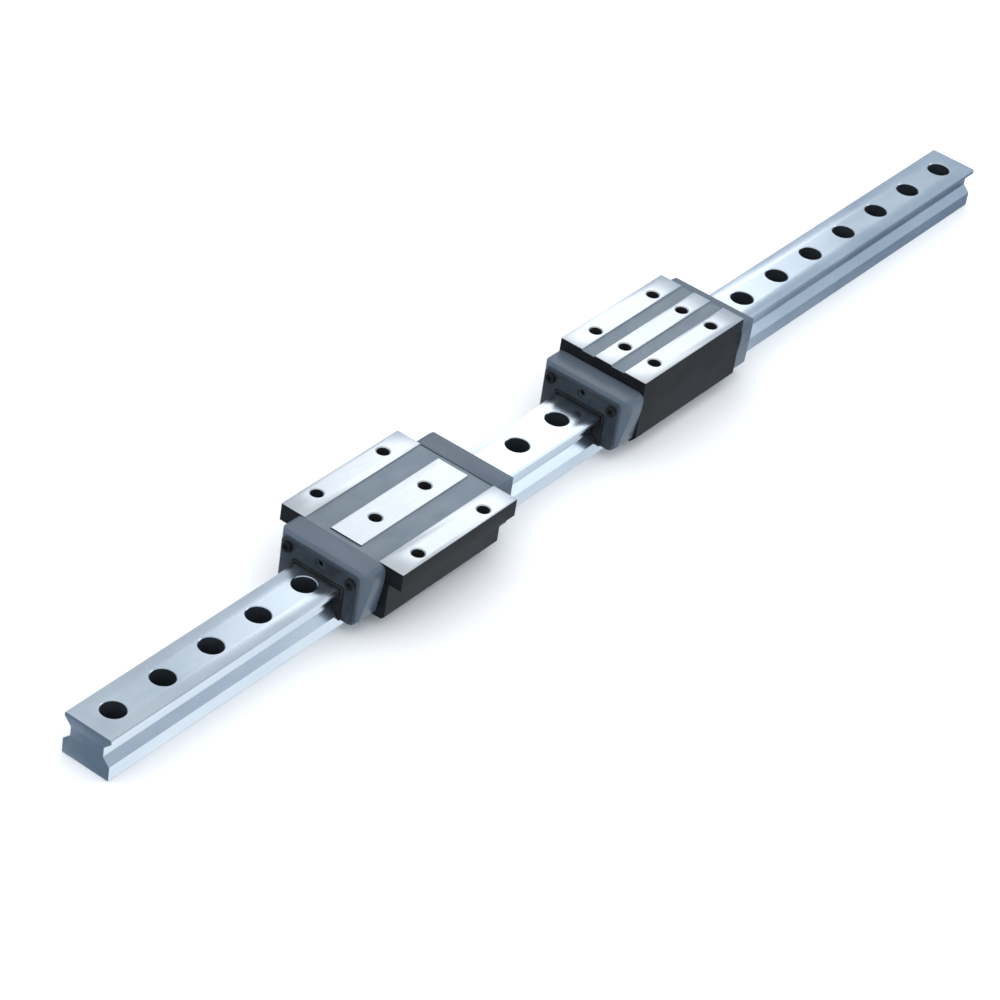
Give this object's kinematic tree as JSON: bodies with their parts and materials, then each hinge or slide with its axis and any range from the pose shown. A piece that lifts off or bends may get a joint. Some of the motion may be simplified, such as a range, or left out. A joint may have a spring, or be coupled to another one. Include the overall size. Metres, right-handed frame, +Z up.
{
  "type": "linear guide",
  "caption": "Profiled linear roller guide: a steel rail with counterbored holes, carrying a flanged carriage and a narrow high carriage.",
  "frame": {"origin": "middle of the rail's base face", "axes": "+X along the rail from the flanged carriage to the narrow one, +Y across it, +Z up from the base"},
  "size_m": [1.155, 0.12, 0.07],
  "materials": {
    "rail_steel": "ground, hardened steel",
    "block_steel": "dark coated steel with ground lands",
    "cap_plastic": "moulded dark blue-grey plastic",
    "guide_plastic": "moulded grey plastic",
    "seal_rubber": "black nitrile rubber",
    "plate_steel": "dark coated sheet steel",
    "roller_steel": "polished bearing steel",
    "screw_steel": "black oxide steel"
  },
  "bodies": {
    "rail": {"rail": "rail_steel"},
    "flanged_carriage": {"flanged_block": "block_steel", "flanged_roller_train_upper_left": "roller_steel", "flanged_roller_retainer_upper_left": "guide_plastic", "flanged_return_sleeve_upper_left": "guide_plastic", "flanged_roller_train_lower_left": "roller_steel", "flanged_roller_retainer_lower_left": "guide_plastic", "flanged_return_sleeve_lower_left": "guide_plastic", "flanged_roller_train_upper_right": "roller_steel", "flanged_roller_retainer_upper_right": "guide_plastic", "flanged_return_sleeve_upper_right": "guide_plastic", "flanged_roller_train_lower_right": "roller_steel", "flanged_roller_retainer_lower_right": "guide_plastic", "flanged_return_sleeve_lower_right": "guide_plastic", "flanged_bottom_seal_left": "seal_rubber", "flanged_bottom_seal_right": "seal_rubber", "flanged_front_return_guide": "guide_plastic", "flanged_front_end_cap": "cap_plastic", "flanged_front_wiper": "seal_rubber", "flanged_front_cover_plate": "plate_steel", "flanged_front_grease_plug": "screw_steel", "flanged_front_screw_left": "screw_steel", "flanged_front_screw_right": "screw_steel", "flanged_rear_return_guide": "guide_plastic", "flanged_rear_end_cap": "cap_plastic", "flanged_rear_wiper": "seal_rubber", "flanged_rear_cover_plate": "plate_steel", "flanged_rear_grease_plug": "screw_steel", "flanged_rear_screw_left": "screw_steel", "flanged_rear_screw_right": "screw_steel"},
    "narrow_carriage": {"narrow_block": "block_steel", "narrow_roller_train_upper_left": "roller_steel", "narrow_roller_retainer_upper_left": "guide_plastic", "narrow_return_sleeve_upper_left": "guide_plastic", "narrow_roller_train_lower_left": "roller_steel", "narrow_roller_retainer_lower_left": "guide_plastic", "narrow_return_sleeve_lower_left": "guide_plastic", "narrow_roller_train_upper_right": "roller_steel", "narrow_roller_retainer_upper_right": "guide_plastic", "narrow_return_sleeve_upper_right": "guide_plastic", "narrow_roller_train_lower_right": "roller_steel", "narrow_roller_retainer_lower_right": "guide_plastic", "narrow_return_sleeve_lower_right": "guide_plastic", "narrow_bottom_seal_left": "seal_rubber", "narrow_bottom_seal_right": "seal_rubber", "narrow_front_return_guide": "guide_plastic", "narrow_front_end_cap": "cap_plastic", "narrow_front_wiper": "seal_rubber", "narrow_front_cover_plate": "plate_steel", "narrow_front_grease_plug": "screw_steel", "narrow_front_screw_left": "screw_steel", "narrow_front_screw_right": "screw_steel", "narrow_rear_return_guide": "guide_plastic", "narrow_rear_end_cap": "cap_plastic", "narrow_rear_wiper": "seal_rubber", "narrow_rear_cover_plate": "plate_steel", "narrow_rear_grease_plug": "screw_steel", "narrow_rear_screw_left": "screw_steel", "narrow_rear_screw_right": "screw_steel"}
  },
  "joints": [
    {"name": "flanged_carriage_slide", "type": "slide", "parent": "rail", "child": "flanged_carriage", "axis": [1, 0, 0], "range_m": [-0.248, 0.066]},
    {"name": "narrow_carriage_slide", "type": "slide", "parent": "rail", "child": "narrow_carriage", "axis": [1, 0, 0], "range_m": [-0.066, 0.38]}
  ]
}
